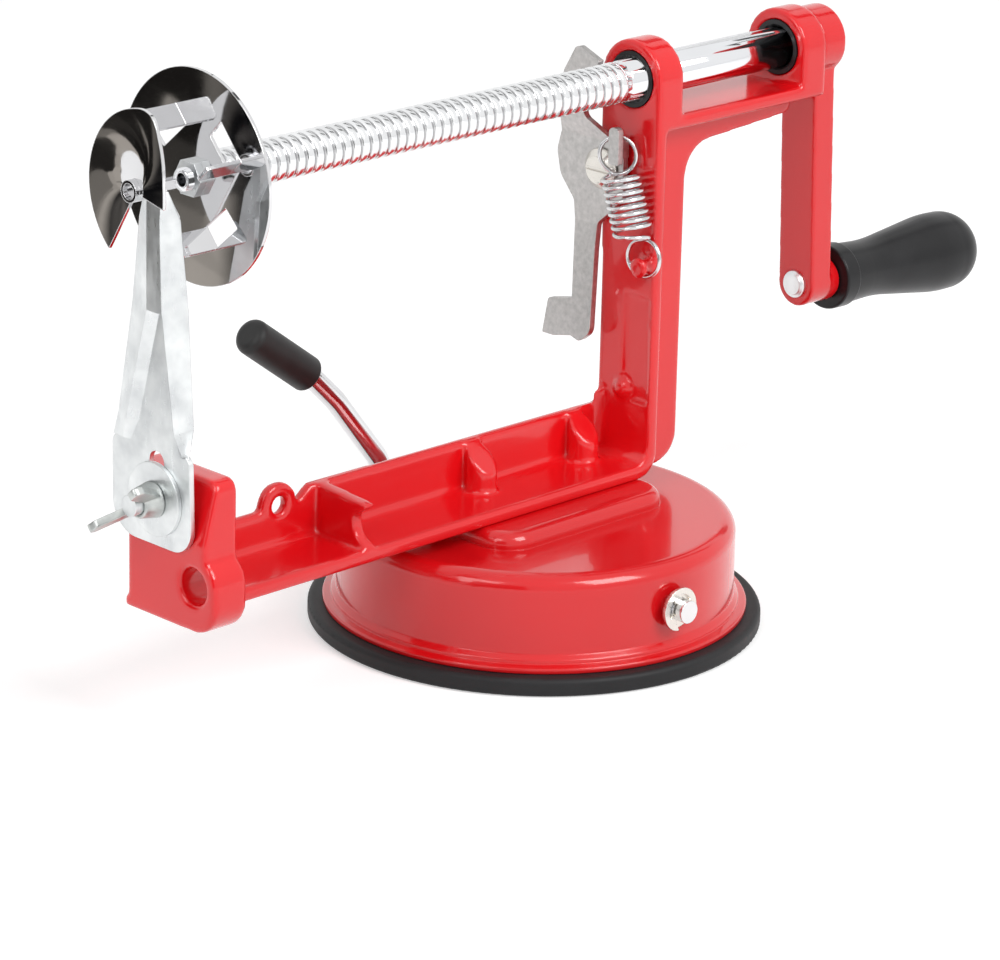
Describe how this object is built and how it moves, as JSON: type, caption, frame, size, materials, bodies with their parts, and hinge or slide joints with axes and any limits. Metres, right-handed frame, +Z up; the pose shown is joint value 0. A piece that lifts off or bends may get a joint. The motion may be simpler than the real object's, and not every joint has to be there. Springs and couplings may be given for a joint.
{
  "type": "spiral potato cutter",
  "caption": "Hand cranked spiral potato cutter: cast frame on a suction base, feed screw with fork disc, half-nut lever and spiral blade on a clamped arm.",
  "frame": {"origin": "centre of the rubber pad's bottom face", "axes": "+Z up from the table, +X along the feed screw from the blade towards the crank, -Y the side the operator sees"},
  "size_m": [0.3428, 0.1344, 0.1814],
  "materials": {
    "red_enamel": "glossy red enamel on a light alloy casting",
    "red_steel": "glossy red paint on pressed steel",
    "black_plastic": "satin",
    "grip_plastic": "soft gloss",
    "black_rubber": "matt",
    "plated_steel": "bright plated",
    "zinc_steel": "zinc plated",
    "nickel_steel": "nickel plated",
    "spring_steel": "bright drawn wire",
    "satin_steel": "satin stainless sheet",
    "chrome_steel": "polished chrome",
    "mirror_steel": "mirror polished stainless sheet"
  },
  "bodies": {
    "frame": {"frame_casting": "red_enamel", "front_bush": "black_plastic", "rear_bush": "black_plastic", "base_housing": "red_steel", "rubber_pad": "black_rubber", "fixing_screws": "plated_steel", "blade_bolt": "zinc_steel", "lever_stud": "nickel_steel", "lever_washer": "nickel_steel", "lever_spring": "spring_steel"},
    "screw_carrier": {"thrust_washer": "plated_steel"},
    "screw_and_crank": {"lead_screw": "chrome_steel", "fork_disc": "mirror_steel", "disc_nut": "plated_steel", "crank_arm": "red_enamel", "grip_rivet": "plated_steel"},
    "grip": {"crank_grip": "grip_plastic"},
    "half_nut_lever": {"nut_lever": "satin_steel"},
    "blade_clamp": {"blade_washer": "zinc_steel"},
    "blade": {"blade_arm": "zinc_steel", "spiral_blade": "mirror_steel", "blade_eyelet": "mirror_steel"},
    "wing_nut": {"wing_nut": "zinc_steel"},
    "suction_lever": {"suction_rod": "chrome_steel", "suction_grip": "black_rubber", "suction_cam": "plated_steel", "axle_clip": "plated_steel", "axle_washer": "plated_steel"},
    "pad_puller": {"pad_puller": "plated_steel"}
  },
  "joints": [
    {"name": "screw_feed", "type": "slide", "parent": "frame", "child": "screw_carrier", "axis": [1, 0, 0], "range_m": [0, 0.1353]},
    {"name": "crank_turn", "type": "hinge", "parent": "screw_carrier", "child": "screw_and_crank", "pos_m": [0, 0, 0.1525], "axis": [1, 0, 0], "range_deg": [0, 14760]},
    {"name": "grip_spin", "type": "hinge", "parent": "screw_and_crank", "child": "grip", "pos_m": [0.1046, -0.00257, 0.07905], "axis": [0.9996, -0.001, -0.0296], "continuous": true},
    {"name": "nut_lever_turn", "type": "hinge", "parent": "frame", "child": "half_nut_lever", "pos_m": [0.0315, 0.0075, 0.1255], "axis": [1, 0, 0], "range_deg": [-14, 0], "stiffness_Nm_per_rad": 0.06, "springref_deg": 28.65, "deforming": ["lever_spring"]},
    {"name": "blade_swing", "type": "hinge", "parent": "frame", "child": "blade_clamp", "pos_m": [-0.147, -0.005, 0.07], "axis": [1, 0, 0], "range_deg": [-25, 15]},
    {"name": "blade_height", "type": "slide", "parent": "blade_clamp", "child": "blade", "axis": [0, 0, 1], "range_m": [-0.0095, 0]},
    {"name": "wing_nut_turn", "type": "hinge", "parent": "frame", "child": "wing_nut", "pos_m": [-0.15, -0.005, 0.07], "axis": [1, 0, 0], "continuous": true},
    {"name": "suction_lever_turn", "type": "hinge", "parent": "frame", "child": "suction_lever", "pos_m": [-0.003, 0, 0.019], "axis": [0, 1, 0], "range_deg": [0, 95]},
    {"name": "pad_pull", "type": "slide", "parent": "frame", "child": "pad_puller", "axis": [0, 0, 1], "range_m": [0, 0.0031]}
  ],
  "couplings": [
    {"joint": "screw_feed", "follows": "crank_turn", "m_per_rad": 0.00052521},
    {"joint": "pad_pull", "follows": "suction_lever_turn", "m_per_rad": 0.0018676}
  ]
}
